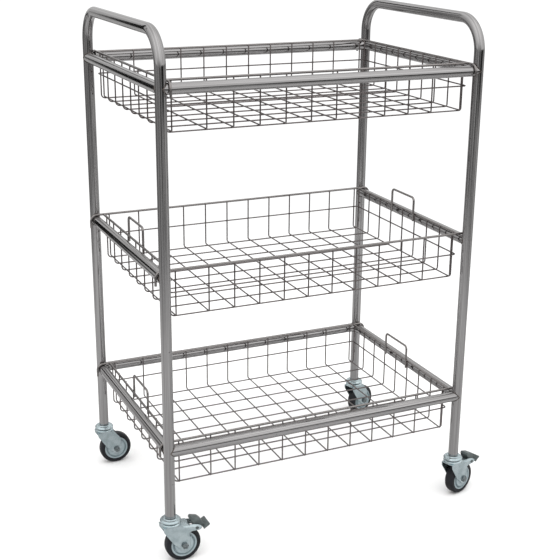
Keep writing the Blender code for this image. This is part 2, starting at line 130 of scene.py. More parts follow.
# %% Shader arithmetic
class Value:
    """One output socket; arithmetic on it adds Math nodes to its tree."""

    def __init__(self, graph, socket):
        self.graph, self.socket = graph, socket

    def math(self, operation, *terms):
        return self.graph.node("ShaderNodeMath", {"operation": operation}, dict(enumerate(terms)))

    def __add__(self, other):
        return self.math("ADD", self, other)

    def __sub__(self, other):
        return self.math("SUBTRACT", self, other)

    def __rsub__(self, other):
        return self.math("SUBTRACT", other, self)

    def __mul__(self, other):
        return self.math("MULTIPLY", self, other)

    __radd__, __rmul__ = __add__, __mul__

    def between(self, low, high):
        """0 below low, 1 above high, smooth in between."""
        return self.graph.node("ShaderNodeMapRange", {"interpolation_type": "SMOOTHSTEP"},
                               {"Value": self, "From Min": low, "From Max": high})


class Graph:
    """A node tree that is built by calls."""

    def __init__(self, tree):
        self.tree = tree

    def node(self, kind, settings=None, inputs=None, output=0):
        """Add a node: settings first, then its sockets by name or number; returns one output."""
        made = self.tree.nodes.new(kind)
        for key, setting in (settings or {}).items():
            setattr(made, key, setting)
        for key, term in (inputs or {}).items():
            self.feed(made.inputs[key], term)
        return Value(self, made.outputs[output])

    def feed(self, socket, term):
        """Link a Value into a socket, or set a plain number or colour on it."""
        if isinstance(term, Value):
            self.tree.links.new(term.socket, socket)
        elif socket.type == "RGBA" and len(term) == 3:
            socket.default_value = (*term, 1.0)
        else:
            socket.default_value = term

    def mix(self, share, first, second):
        """A colour that goes from first to second as share goes from 0 to 1."""
        return self.node("ShaderNodeMix", {"data_type": "RGBA"}, {0: share, 6: first, 7: second}, 2)

    def noise(self, vector, scale, detail=3.0, roughness=0.5):
        return self.node("ShaderNodeTexNoise", None, {"Vector": vector, "Scale": scale,
                                                      "Detail": detail, "Roughness": roughness})


class Finish(Graph):
    """A material: the surface's Principled shader and the nodes that feed it."""

    def __init__(self, name, **constants):
        self.material = bpy.data.materials.new(name)
        self.material.use_nodes = True
        super().__init__(self.material.node_tree)
        self.surface = self.tree.nodes["Principled BSDF"]
        for key, number in constants.items():
            self.feed(self.surface.inputs[key.replace("_", " ")], number)

    def give(self, **links):
        """Feed the shader's sockets, an underscore standing for a space."""
        for key, term in links.items():
            self.feed(self.surface.inputs[key.replace("_", " ")], term)
        return self.material

    def place(self):
        return self.node("ShaderNodeTexCoord", None, None, "Object")

    def bump(self, height, distance, strength=1.0):
        return self.node("ShaderNodeBump", None, {"Height": height, "Distance": distance,
                                                  "Strength": strength})


print("shader helpers ready")

# %% [markdown]
# ## Stainless tube and wire
# Drawn tube carries faint streaks along its length. They must follow the tube round a bend, so
# every swept piece stores how far along (u, in metres) and how far round (v, in turns) each corner
# lies, in a UV map named `along`. The shader bends v into a circle, so the pattern has no seam.

# %% Stainless finishes
UV_NAME = "along"
STREAKS_ROUND, STREAKS_ALONG = 4.5, 1.2    # noise scales of the long streaks
GRAIN_ROUND, GRAIN_ALONG = 22.5, 9.0       # and of the fine drawn grain


def tube_coordinates(finish, round_scale, along_scale):
    """A vector that goes round a circle with v and straight on with u."""
    uv = finish.node("ShaderNodeUVMap", {"uv_map": UV_NAME})
    parts = finish.tree.nodes.new("ShaderNodeSeparateXYZ")
    finish.feed(parts.inputs[0], uv)
    along, turn = Value(finish, parts.outputs[0]), Value(finish, parts.outputs[1])
    angle = turn * (2 * math.pi)
    across = angle.math("COSINE", angle) * round_scale
    upward = angle.math("SINE", angle) * round_scale
    return finish.node("ShaderNodeCombineXYZ", None, {0: across, 1: upward, 2: along * along_scale})


def stainless(name, light, dark, smooth, rough):
    """Drawn stainless steel: long streaks in colour and gloss, a fine drawn grain, a few specks."""
    finish = Finish(name, Metallic=1.0)
    long_streak = finish.noise(tube_coordinates(finish, STREAKS_ROUND, STREAKS_ALONG), 1.0, 4.0, 0.65)
    grain = finish.noise(tube_coordinates(finish, GRAIN_ROUND, GRAIN_ALONG), 1.0, 3.0, 0.6)
    cloud = finish.noise(finish.place(), 28.0, 3.0)
    speck = finish.node("ShaderNodeTexVoronoi", None, {"Vector": finish.place(), "Scale": 38.0})
    spots = 1 - speck.between(0.035, 0.075)
    tone = (long_streak * 0.7 + grain * 0.3).between(0.36, 0.64)
    colour = finish.mix(tone, dark, light)
    colour = finish.mix(spots * 0.55, colour, [0.3 * c for c in dark])
    gloss = smooth + (rough - smooth) * (grain * 0.5 + cloud * 0.5) + spots * 0.2
    return finish.give(Base_Color=colour, Roughness=gloss, Normal=finish.bump(grain, 0.00002, 0.35))


tube_steel = stainless("stainless_tube", (0.46, 0.455, 0.457), (0.250, 0.243, 0.243), 0.05, 0.13)
rim_steel = stainless("stainless_rim_wire", (0.34, 0.325, 0.32), (0.22, 0.205, 0.20), 0.14, 0.28)
wire_steel = stainless("stainless_grid_wire", (0.235, 0.212, 0.210), (0.155, 0.136, 0.134), 0.20, 0.36)
print("stainless finishes:", tube_steel.name, rim_steel.name, wire_steel.name)

# %% [markdown]
# ## Cast, plated and moulded finishes
# The casters are pressed from sheet steel and zinc plated, which leaves a cool, slightly mottled
# gloss. Wheels are grey plastic with a black rubber tyre, and the pedals are darker plastic.
# Noise on Object coordinates gives each its own mottle, and a Bump node the moulded grain.

# %% Zinc, rubber, plastic and weld


def mottled(name, light, dark, scale, smooth, rough, grain_scale, grain_height, **constants):
    """Two shades mixed by soft clouds, with a fine grain in bump and gloss."""
    finish = Finish(name, **constants)
    cloud = finish.noise(finish.place(), scale, 4.0, 0.6)
    grain = finish.noise(finish.place(), grain_scale, 2.0)
    colour = finish.mix(cloud.between(0.38, 0.62), dark, light)
    gloss = smooth + (rough - smooth) * (cloud * 0.5 + grain * 0.5)
    return finish.give(Base_Color=colour, Roughness=gloss, Normal=finish.bump(grain, grain_height))


zinc = mottled("zinc_plating", (0.52, 0.605, 0.63), (0.41, 0.49, 0.515), 60.0, 0.17, 0.30,
               700.0, 0.00003, Metallic=0.95)
bolt_steel = mottled("bolt_steel", (0.27, 0.30, 0.31), (0.12, 0.14, 0.15), 300.0, 0.25, 0.5,
                     900.0, 0.00004, Metallic=0.9)
rubber = mottled("black_tyre_rubber", (0.011, 0.012, 0.016), (0.005, 0.0055, 0.008), 60.0, 0.42, 0.62,
                 900.0, 0.00006, Specular_IOR_Level=0.35)
hub_plastic = mottled("grey_wheel_plastic", (0.42, 0.50, 0.53), (0.35, 0.43, 0.455), 40.0, 0.32, 0.5,
                      800.0, 0.00005)
pedal_plastic = mottled("pedal_plastic", (0.105, 0.125, 0.125), (0.07, 0.085, 0.085), 70.0, 0.35,
                        0.55, 700.0, 0.00006)
weld_steel = mottled("weld_steel", (0.17, 0.145, 0.13), (0.06, 0.05, 0.045), 260.0, 0.28, 0.5,
                     900.0, 0.00005, Metallic=1.0)
print("other finishes:", [m.name for m in (zinc, bolt_steel, rubber, hub_plastic, pedal_plastic)])

# %% [markdown]
# ## Surfaces from rings
# Nearly every piece here is a row of closed rings joined by quads: a tube is a circle carried
# along a path, a turned part is a profile carried round an axis, a pressed leg is a thin loop
# carried down its height. One function joins rings, and the others only work out where rings go.


# %% Rings to faces
class Shape:
    """Points, faces as one flat run of corners with the size of each face, and a UV per corner."""

    def __init__(self, points, corners, sizes, uv):
        self.points, self.corners, self.sizes, self.uv = points, corners, sizes, uv

    def moved(self, matrix):
        """The same faces with every point put through a 4 x 4 matrix."""
        turn = np.array(matrix)
        return Shape(self.points @ turn[:3, :3].T + turn[:3, 3], self.corners, self.sizes, self.uv)


def joined(shapes):
    """Several shapes as one, with each one's corners counted on from the last."""
    starts = np.cumsum([0] + [len(s.points) for s in shapes[:-1]])
    return Shape(np.concatenate([s.points for s in shapes]),
                 np.concatenate([s.corners + start for s, start in zip(shapes, starts)]),
                 np.concatenate([s.sizes for s in shapes]),
                 np.concatenate([s.uv for s in shapes]))


def skin(rings, along=None, closed=False):
    """Quads between neighbouring rings, given as (rings, points, 3), and a flat face on each end.

    Rings turn right-handed about the direction of travel, so faces point outwards. A closed
    skin joins its last ring to its first and needs no ends."""
    count, around = rings.shape[:2]
    if along is None:
        middles = rings.mean(axis=1)
        steps = np.linalg.norm(np.diff(middles, axis=0, append=middles[:1]), axis=1)
        along = np.concatenate([[0.0], np.cumsum(steps)])
    row, column = np.meshgrid(np.arange(count if closed else count - 1), np.arange(around),
                              indexing="ij")
    next_row, next_column = (row + 1) % count, (column + 1) % around
    quads = np.stack([row * around + column, row * around + next_column,
                      next_row * around + next_column, next_row * around + column], axis=-1)
    near, far = along[row], along[row + 1]
    left, right = column / around, (column + 1) / around
    uv = np.stack([np.stack(pair, axis=-1) for pair in
                   ((near, left), (near, right), (far, right), (far, left))], axis=-2)
    corners, uv, sizes = quads.reshape(-1), uv.reshape(-1, 2), np.full(row.size, 4)
    if not closed:
        ends = [np.arange(around)[::-1], (count - 1) * around + np.arange(around)]
        turns = np.arange(around) / around
        end_uv = [np.stack([np.full(around, along[0]), turns[::-1]], axis=-1),
                  np.stack([np.full(around, along[count - 1]), turns], axis=-1)]
        corners = np.concatenate([corners] + ends)
        uv = np.concatenate([uv] + end_uv)
        sizes = np.concatenate([sizes, [around, around]])
    return Shape(rings.reshape(-1, 3), corners, sizes, uv)


def unit(vectors):
    """Vectors at length 1."""
    return vectors / np.linalg.norm(vectors, axis=-1, keepdims=True)


def rounded(corners, bend, steps=9, closed=False):
    """A path through corners, each swapped for an arc that touches both legs.

    A corner that turns by t gives up bend * tan(t / 2) of each leg. The bend is one radius, or
    one for each corner."""
    corners = np.array(corners, dtype=float)
    bends = np.broadcast_to(bend, len(corners))
    path = [] if closed else [corners[:1]]
    turning = range(len(corners)) if closed else range(1, len(corners) - 1)
    for i in turning:
        corner, before, after = corners[i], corners[i - 1], corners[(i + 1) % len(corners)]
        inward, outward = unit(corner - before), unit(after - corner)
        turn = math.acos(np.clip(inward @ outward, -1.0, 1.0))
        side = unit(outward - (inward @ outward) * inward)
        start = corner - inward * bends[i] * math.tan(turn / 2)
        angle = np.linspace(0.0, turn, steps)[:, None]
        path.append(start + bends[i] * (np.sin(angle) * inward + (1 - np.cos(angle)) * side))
    if not closed:
        path.append(corners[-1:])
    return np.concatenate(path)


def swept(path, radius, plane, sides=12, closed=False, tip=0.0):
    """A circle carried along a path that lies in a plane, square to the path at each point.

    Ring = point + radius * (cos v * plane's normal + sin v * the path's side). A tip rounds off
    both ends with a quarter circle of that radius."""
    path, plane = np.array(path, dtype=float), np.array(plane, dtype=float)
    radii = np.full(len(path), radius)
    if closed:
        tangent = unit(np.roll(path, -1, axis=0) - np.roll(path, 1, axis=0))
    else:
        tangent = unit(np.gradient(path, axis=0))
        tangent[0], tangent[-1] = unit(path[1] - path[0]), unit(path[-1] - path[-2])
        if tip > 0:
            quarter = np.radians([0.0, 30.0, 60.0, 90.0])
            inset, back = tip * (1 - np.sin(quarter)), tip * (1 - np.cos(quarter))
            first = path[0] + tangent[0] * back[:, None]
            last = path[-1] - tangent[-1] * back[::-1, None]
            path = np.concatenate([first, path[1:-1], last])
            tangent = np.concatenate([np.repeat(tangent[:1], 4, 0), tangent[1:-1],
                                      np.repeat(tangent[-1:], 4, 0)])
            radii = np.concatenate([radius - inset, radii[1:-1], (radius - inset)[::-1]])
    side = np.cross(tangent, plane)
    angle = np.linspace(0.0, 2 * np.pi, sides, endpoint=False)
    circle = (np.cos(angle)[:, None] * plane)[None] + np.sin(angle)[None, :, None] * side[:, None]
    return skin(path[:, None] + radii[:, None, None] * circle, closed=closed)


def turned(profile, sides=64):
    """A closed profile of (radius, height) carried round the z axis, both seams joined."""
    profile = np.array(profile, dtype=float)
    angle = np.linspace(0.0, 2 * np.pi, sides, endpoint=False)[:, None]
    radius, height = profile[:, 0], profile[:, 1]
    rings = np.stack([radius * np.cos(angle), radius * np.sin(angle),
                      np.broadcast_to(height, (sides, len(profile)))], axis=-1)
    signed = np.sum(radius * np.roll(height, -1) - np.roll(radius, -1) * height)
    rings = rings if signed < 0 else rings[:, ::-1]
    return skin(rings, closed=True)


def plate(outline, low, high, edge):
    """An outline in x and z given a thickness from y = low to high, with rounded edges.

    Each end ring is the outline drawn in by edge * (1 - sin a) and set back by
    edge * (1 - cos a), a quarter circle as a goes from 0 to 90 degrees."""
    outline = np.array(outline, dtype=float)
    tangent = unit(np.roll(outline, -1, axis=0) - np.roll(outline, 1, axis=0))
    inward = np.stack([-tangent[:, 1], tangent[:, 0]], axis=1)
    signed = np.sum(outline[:, 0] * np.roll(outline[:, 1], -1)
                    - np.roll(outline[:, 0], -1) * outline[:, 1])
    if signed < 0:
        outline, inward = outline[::-1], -inward[::-1]
    quarter = np.radians([0.0, 30.0, 60.0, 90.0])
    inset, back = edge * (1 - np.sin(quarter)), edge * (1 - np.cos(quarter))
    inset = np.concatenate([inset, inset[::-1]])
    y = np.concatenate([high - back, (low + back)[::-1]])
    flat = outline + inset[:, None, None] * inward
    rings = np.stack([flat[..., 0], np.broadcast_to(y[:, None], flat.shape[:2]), flat[..., 1]], axis=-1)
    return skin(rings)


SHARP_ANGLE = math.radians(35.0)    # edges that turn more than this are shaded sharp
pieces = []


def piece(name, shapes, body, finish, replaced=()):
    """Make one object from shapes: its mesh, UV map and finish, riding on its body."""
    shape = joined(shapes) if isinstance(shapes, list) else shapes
    mesh = bpy.data.meshes.new(name)
    faces = np.split(shape.corners, np.cumsum(shape.sizes)[:-1])
    mesh.from_pydata(shape.points.tolist(), [], [face.tolist() for face in faces])
    layer = mesh.uv_layers.new(name=UV_NAME)
    layer.uv.foreach_set("vector", shape.uv.ravel().astype(np.float32))
    mesh.polygons.foreach_set("use_smooth", np.ones(len(faces), dtype=bool))
    mesh.set_sharp_from_angle(angle=SHARP_ANGLE)
    mesh.materials.append(finish)
    made = bpy.data.objects.new(name, mesh)
    bpy.context.scene.collection.objects.link(made)
    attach(made, body)
    if replaced:
        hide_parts(*replaced)
    pieces.append(made)
    return made


print("surface helpers ready")

# %% [markdown]
# ## Bent end frames
# Each end of the cart is one tube: up a post, round into the push handle and down the other post.
# The bend is a true quarter circle on the tube's axis, so the tube keeps its roundness through it.

# %% End frames
X_AXIS, Y_AXIS, Z_AXIS = (1, 0, 0), (0, 1, 0), (0, 0, 1)
TUBE_SIDES = 48
for side, x in (("left", -post_x), ("right", post_x)):
    corners = [(x, -post_y, post_foot), (x, -post_y, handle_z), (x, post_y, handle_z),
               (x, post_y, post_foot)]
    tube = swept(rounded(corners, HANDLE_BEND, 25), TUBE_R, X_AXIS, TUBE_SIDES, tip=0.0006)
    piece(f"fine_{side}_frame_tube", tube, "cart_frame", tube_steel,
          [f"{side}_frame_tube"])
print("end frames made")

# %% [markdown]
# ## Saddled rails and their welds
# A rail's end is ground hollow to sit against the round post. Both tubes have the same radius R, so
# at angle v round the rail its end lies R * |sin v| short of the post's axis. The same curve
# carries the weld bead, whose ripples are a small sine in its thickness.

# %% Rails
BEAD_R = 0.0010
BEAD_RIPPLES = 46
SADDLE_SOFT = 0.0016  # rounds the two points of the saddle, where |sin v| is 0
RAIL_SINK = 0.0003    # how far a rail's end enters the post
RAIL_RING = 0.016     # from the post's axis to the rail's first full ring


def saddle(angle):
    """How far short of the post's axis the rail's surface ends, at each angle round the rail."""
    return TUBE_R * np.sqrt(np.sin(angle) ** 2 + SADDLE_SOFT)


def rail(half_length, level_z, offset, along_x):
    """A round rail between two posts, both ends saddled, as its tube and its two weld beads."""
    angle = np.linspace(0.0, 2 * np.pi, TUBE_SIDES, endpoint=False)
    tips = half_length - saddle(angle) + RAIL_SINK
    full = np.full(TUBE_SIDES, half_length - RAIL_RING)
    reach = np.stack([-tips, -full, full, tips])
    flat, up = TUBE_R * np.cos(angle), TUBE_R * np.sin(angle)
    flat, up = np.broadcast_to(flat, reach.shape), np.broadcast_to(up, reach.shape)
    tube = skin(np.stack([reach, offset + flat, level_z + up], axis=-1),
                along=np.array([0.0, RAIL_RING, 2 * half_length - RAIL_RING, 2 * half_length]))
    beads = [bead(half_length, level_z, offset, end) for end in (-1, 1)]
    if along_x:
        return tube, beads
    swap = Matrix(((0, -1, 0, 0), (1, 0, 0, 0), (0, 0, 1, 0), (0, 0, 0, 1)))
    return tube.moved(swap), [b.moved(swap) for b in beads]


def bead(half_length, level_z, offset, end):
    """A thin ring of weld that follows the saddle curve on one end of a rail.

    Its centre line is (end * (half length - saddle(v)), R cos v, R sin v), and it is carried
    square to that line, thicker and thinner by a small sine of v."""
    v = np.linspace(0.0, 2 * np.pi, 96, endpoint=False)
    line = np.stack([end * (half_length - saddle(v)), offset + TUBE_R * np.cos(v),
                     level_z + TUBE_R * np.sin(v)], axis=1)
    tangent = unit(np.roll(line, -1, axis=0) - np.roll(line, 1, axis=0))
    outward = np.stack([np.zeros_like(v), np.cos(v), np.sin(v)], axis=1)
    side = unit(np.cross(tangent, outward))
    outward = np.cross(side, tangent)
    thick = BEAD_R * (1 + 0.10 * np.sin(BEAD_RIPPLES * v))
    around = np.linspace(0.0, 2 * np.pi, 8, endpoint=False)
    ring = np.cos(around)[None, :, None] * outward[:, None] + np.sin(around)[None, :, None] * side[:, None]
    return skin(line[:, None] + thick[:, None, None] * ring, closed=True)


rail_places = [(f"{side}_{level}_rail", level, side) for level in LEVELS
               for side in ("left", "right", "front", "back") if f"{side}_{level}_rail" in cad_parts]
all_beads = []
for name, level, side in rail_places:
    along_x = side in ("front", "back")
    half_length = post_x if along_x else post_y
    # The swap of axes turns y = offset into x = -offset, so the side rails' signs are reversed.
    offset = {"front": -post_y, "back": post_y, "left": post_x, "right": -post_x}[side]
    tube, beads = rail(half_length, rail_z[level], offset, along_x)
    piece(f"fine_{name}", tube, "cart_frame", tube_steel, [name])
    all_beads += beads
piece("weld_beads", all_beads, "cart_frame", weld_steel)
print(len(rail_places), "rails and", len(all_beads), "weld beads")

# %% [markdown]
# ## Basket rims and hooks
# Two rim wires of each basket run on past the rim, over the rails, and turn down as hooks, so the
# basket lifts straight off. On the top basket they run front to back, on the others left to right.

# %% Rims
def ring_half(level):
    """Half sizes of the waist wire's axis, read from the model."""
    return half_size(f"{level}_basket_waist_ring")[:2] - WIRE_R


def hooked_path(half_gauge, z):
    """Tail, arc over the far rail, straight across, arc and tail again, as (along, height).

    Each arc is a quarter turn about a rail's axis, at the hook's rise from it."""
    quarter = np.linspace(0.0, np.pi / 2, 13)
    along, up = half_gauge + HOOK_RISE * np.cos(quarter), z + HOOK_RISE * np.sin(quarter)
    right = np.stack([np.append(along[0], along), np.append(z - HOOK_TAIL, up)], axis=1)
    return np.concatenate([right * (-1, 1), right[::-1]])


def stood(path, across, along_x):
    """Stand a flat (along, height) path at a place across the cart."""
    along, up = path.T
    fixed = np.full(len(along), float(across))
    return np.stack([along, fixed, up] if along_x else [fixed, along, up], axis=1)


for level in LEVELS:
    hooks_along_x = level != "top"
    half_x, half_y = ring_half(level) + WAIST_INSET
    z, rim_z = rail_z[level], rail_z[level] + HOOK_RISE
    gauge, hook_place, plain_place = ((post_x, half_y, half_x) if hooks_along_x
                                      else (post_y, half_x, half_y))
    plane = Y_AXIS if hooks_along_x else X_AXIS
    wires = [swept(stood(hooked_path(gauge, z), sign * hook_place, hooks_along_x), RIM_R, plane, 20,
                   tip=0.0008) for sign in (-1, 1)]
    reach = hook_place - 0.0006
    wires += [swept(stood(np.array([(-reach, rim_z), (reach, rim_z)]), sign * plain_place,
                          not hooks_along_x), RIM_R, Z_AXIS, 20) for sign in (-1, 1)]
    piece(f"fine_{level}_basket_rim", wires, f"{level}_basket", rim_steel,
          [f"{level}_basket_rim"])
print("rims made")

# %% [markdown]
# ## Basket grids
# A grid wire is a U: down one wall, across the floor, up the other. The ones that run front to back
# lie on top of the ones that run left to right, sunk a little where they are spot welded. A spot
# weld is a small flattened ball, repeated at every crossing, so it has only a few faces.

# %% Grids
LONG_WIRES = 9        # left to right
NOSE_WIRES = 10       # front to back, between the two end ones
END_GAP = 1.27        # the last gap beside an end wire, in pitches
SPOT_R = 0.0019
SPOT_FLAT = 0.62      # a spot weld's height for its width


def nose_places(half):
    """Evenly spaced, but with a wider last gap at both ends."""
    end = half - GRID_BEND
    pitch = 2 * end / (NOSE_WIRES - 1 + 2 * END_GAP)
    inner = (np.arange(NOSE_WIRES) - (NOSE_WIRES - 1) / 2) * pitch
    return np.concatenate([[-end], inner, [end]])


def long_places(half):
    return np.linspace(GRID_BEND - half, half - GRID_BEND, LONG_WIRES)


def grid_wire(half, across, top_z, floor_z, along_x):
    """One U wire, its two floor corners bent round."""
    corners = [(-half, 0, top_z), (-half, 0, floor_z), (half, 0, floor_z), (half, 0, top_z)]
    bends = (0, GRID_BEND, SHARP_BEND, 0) if along_x else (0, NOSE_BEND, NOSE_BEND, 0)
    path = rounded(corners, bends, 7)[:, ::2]
    return swept(stood(path, across, along_x), WIRE_R, Y_AXIS if along_x else X_AXIS, 12, tip=0.0005)


def spots(places):
    """A flattened ball of few faces at each place."""
    turn = np.linspace(0.0, 2 * np.pi, 6, endpoint=False)
    rise = np.radians([-60.0, 0.0, 60.0])
    ring = np.stack([np.cos(rise)[:, None] * np.cos(turn), np.cos(rise)[:, None] * np.sin(turn),
                     np.broadcast_to(SPOT_FLAT * np.sin(rise)[:, None], (3, 6))], axis=-1)
    return [skin(SPOT_R * ring + place) for place in places]


for level in LEVELS:
    half_x, half_y = ring_half(level) - (2 * WIRE_R - WELD_SINK)
    top_z = rail_z[level] + HOOK_RISE
    floor_z = top_z - BASKET_DEPTH
    lower_z = floor_z - 2 * WIRE_R + WELD_SINK
    nose, long = nose_places(half_x), long_places(half_y)
    wires = [grid_wire(half_y, x, top_z, floor_z, False) for x in nose]
    wires += [grid_wire(half_x, y, top_z, lower_z, True) for y in long]
    crossing_x, crossing_y = np.meshgrid(nose[1:-1], long[1:-1])
    crossing_z = np.full(crossing_x.size, (floor_z + lower_z) / 2)
    crossings = np.stack([crossing_x.ravel(), crossing_y.ravel(), crossing_z], axis=1)
    piece(f"fine_{level}_basket_mesh", wires + spots(crossings), f"{level}_basket",
          wire_steel, [f"{level}_basket_mesh"])
print(len(nose) + len(long), "wires and", len(crossings), "floor spot welds in each basket")

# %% [markdown]
# ## Waist rings and grips
# A thin wire runs round the outside of each basket at half its depth. The two lower baskets also
# have a thicker loop at each end, welded inside the rim and standing above it, as a grip.

# %% Waist rings and grips
for level in LEVELS:
    half_x, half_y = ring_half(level)
    waist_z = middle(f"{level}_basket_waist_ring")[2]
    corners = [(half_x, -half_y, waist_z), (half_x, half_y, waist_z), (-half_x, half_y, waist_z),
               (-half_x, -half_y, waist_z)]
    ring = swept(rounded(corners, WAIST_BEND, 7, closed=True), WIRE_R, Z_AXIS, 12, closed=True)
    piece(f"fine_{level}_basket_waist_ring", ring, f"{level}_basket", wire_steel,
          [f"{level}_basket_waist_ring"])
    for side, sign in (("left", -1), ("right", 1)):
        node = f"{level}_basket_{side}_handle"
        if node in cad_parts:
            low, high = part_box(node)
            x = sign * (half_x + WAIST_INSET - 2 * RIM_R + WELD_SINK)
            leg_y, foot_z, grip_z = high.y - RIM_R, low.z, high.z - RIM_R
            corners = [(x, -leg_y, foot_z), (x, -leg_y, grip_z), (x, leg_y, grip_z), (x, leg_y, foot_z)]
            loop = swept(rounded(corners, GRIP_BEND, 11), RIM_R, X_AXIS, 20, tip=0.0008)
            piece(f"fine_{node}", loop, f"{level}_basket", rim_steel, [node])
print("waist rings and grips made")

# %% [markdown]
# ## Casters
# A caster is easiest in its own frame: the swivel axis is z, and the wheel trails towards +x.
# Every shape is made there and then turned to the yaw that the model's wheel stands at.

# %% Sizes of a caster
WHEEL_R = half_size("front_left_caster_tyre")[2]
TRAIL = 0.025
CROWN_TOP = 0.086     # top of the fork's crown plate
LEG_IN, LEG_OUT = 0.014, 0.016
HEAD_R = 0.0215
AXLE = Vector((TRAIL, 0.0, WHEEL_R))
PEDAL_PIVOT = (0.052, 0.0725)


def caster_place(corner):
    """Stand a caster on its post's axis, turned to where its wheel is."""
    stem = middle(f"{corner}_caster_stem")
    wheel = middle(f"{corner}_caster_tyre")
    yaw = math.atan2(wheel[1] - stem[1], wheel[0] - stem[0])
    return Matrix.Translation((stem[0], stem[1], 0.0)) @ Matrix.Rotation(yaw, 4, "Z")


def smooth_profile(corners, bend, steps=5):
    """A closed profile of (radius, height) with its corners rounded."""
    flat = [(radius, 0.0, height) for radius, height in corners]
    return rounded(flat, bend, steps, closed=True)[:, ::2]


def about_axle(shape):
    """Lay a shape turned about z onto the wheel's axle, along y."""
    return shape.moved(Matrix.Translation(AXLE) @ Matrix.Rotation(math.pi / 2, 4, "X"))


print([f"{corner}: {math.degrees(caster_place(corner).to_euler().z):.0f} degrees"
       for corner in CORNERS])

# %% [markdown]
# The bearing is two pressed rings, one above the other: a dished cap fixed to the stem, and a
# flatter one pressed into the fork. Both are turned profiles with softly rounded corners.

# %% Bearing rings
cap_low, cap_high = CROWN_TOP + 0.0082, CROWN_TOP + 0.0153
cap_profile = smooth_profile([(0.0053, cap_high), (0.0138, cap_high), (0.0147, cap_high - 0.0016),
                              (0.0185, cap_high - 0.0022), (HEAD_R, cap_high - 0.0050),
                              (HEAD_R, cap_low), (0.0053, cap_low)], 0.0006)
race_low, race_high = CROWN_TOP - 0.0005, CROWN_TOP + 0.0058
race_profile = smooth_profile([(0.0055, race_high), (0.0190, race_high), (HEAD_R, race_high - 0.0022),
                               (0.0205, race_low), (0.0055, race_low)], 0.0006)
cap, race = turned(cap_profile, 72), turned(race_profile, 72)
print(f"bearing cap {1000 * HEAD_R:.1f} mm in radius")

# %% [markdown]
# A fork leg is pressed sheet, wide at the crown and narrow at the axle. Its front and rear edges
# are curves of height, and between them the sheet is a grid: across it, points bunch up at both
# edges, where the face rolls over into the thickness. A pressed crease runs down beside the axle.

# %% Fork
EDGE = 0.0006         # how far the sheet's face rolls over at its edges
LEG_TOP = 0.0852
BOSS_R = 0.0115       # round end of a leg, under the axle
BOSS_START = WHEEL_R - 0.004
CREASE_X = TRAIL - 0.0126
CREASE_DEPTH, STEP_DEPTH = 0.0007, 0.0009
ARM_ROUND, ARM_ROUND_REACH = 0.0555, 0.0070    # where an arm's round end starts, and its length


def across_sheet(first, last, inner=22):
    """Positions from one edge to the other, and how far the face drops back at each.

    Within EDGE of an edge the face follows a quarter circle."""
    inset = EDGE * (1 - np.cos(np.radians([0.0, 35.0, 65.0, 90.0])))
    share = np.linspace(0.0, 1.0, inner)[1:-1]
    first, last = first[:, None], last[:, None]
    middle_part = first + EDGE + share * (last - first - 2 * EDGE)
    spots_across = np.concatenate([first + inset, middle_part, last - inset[::-1]], axis=1)
    from_edge = np.concatenate([inset, np.full(len(share), EDGE), inset[::-1]])
    drop = EDGE - np.sqrt(EDGE ** 2 - (EDGE - from_edge) ** 2)
    return spots_across, np.broadcast_to(drop, spots_across.shape)


def pressed_sheet(x, z, outer, drop, sign):
    """A closed sheet: its outer face at y = outer - drop, its inner face one wall further in."""
    thickness = LEG_OUT - LEG_IN
    face = np.stack([x, sign * (outer - drop), z], axis=-1)
    back = np.stack([x, sign * (outer - thickness + drop), z], axis=-1)
    rings = np.concatenate([face, back[:, ::-1]], axis=1)
    return skin(rings if sign > 0 else rings[:, ::-1])


def soft_step(values, low, high):
    """0 below low, 1 above high, and a smooth S between."""
    share = np.clip((values - low) / (high - low), 0.0, 1.0)
    return share * share * (3 - 2 * share)


def leg(sign):
    """One leg, its rows going down from the crown to the round boss under the axle."""
    front = rounded([(-0.0200, 0, LEG_TOP), (-0.0190, 0, 0.0760), (0.0010, 0, 0.0450),
                     (0.0150, 0, 0.0320)], 0.010)[:, ::2]
    rear = rounded([(0.0190, 0, LEG_TOP), (0.0345, 0, 0.0660), (0.0362, 0, 0.0540),
                    (0.0365, 0, 0.0375)], 0.006)[:, ::2]
    turn = np.linspace(0.0, np.pi / 2, 14)[1:-1]
    heights = np.concatenate([np.linspace(LEG_TOP, BOSS_START, 34),
                              BOSS_START - (BOSS_R - 0.0041) * np.sin(turn)])
    below = np.sqrt(np.clip(BOSS_R ** 2 - (heights - WHEEL_R) ** 2, 0.0, None))
    start = np.interp(-heights, -front[:, 1], front[:, 0])
    end = np.interp(-heights, -rear[:, 1], rear[:, 0])
    start = np.where(heights < front[-1, 1] + 0.001, np.maximum(start, TRAIL - below), start)
    end = np.where(heights < WHEEL_R, TRAIL + below, end)
    x, drop = across_sheet(start, end)
    z = np.broadcast_to(heights[:, None], x.shape)
    fade = soft_step(z, 0.028, 0.040) * (1 - soft_step(z, 0.062, 0.074))
    step = 1 - soft_step(x, CREASE_X - 0.004, CREASE_X + 0.0005)
    crease = np.exp(-((x - CREASE_X) / 0.0009) ** 2)
    outer = LEG_OUT - STEP_DEPTH * step * fade - CREASE_DEPTH * crease * fade
    return pressed_sheet(x, z, outer, drop, sign)


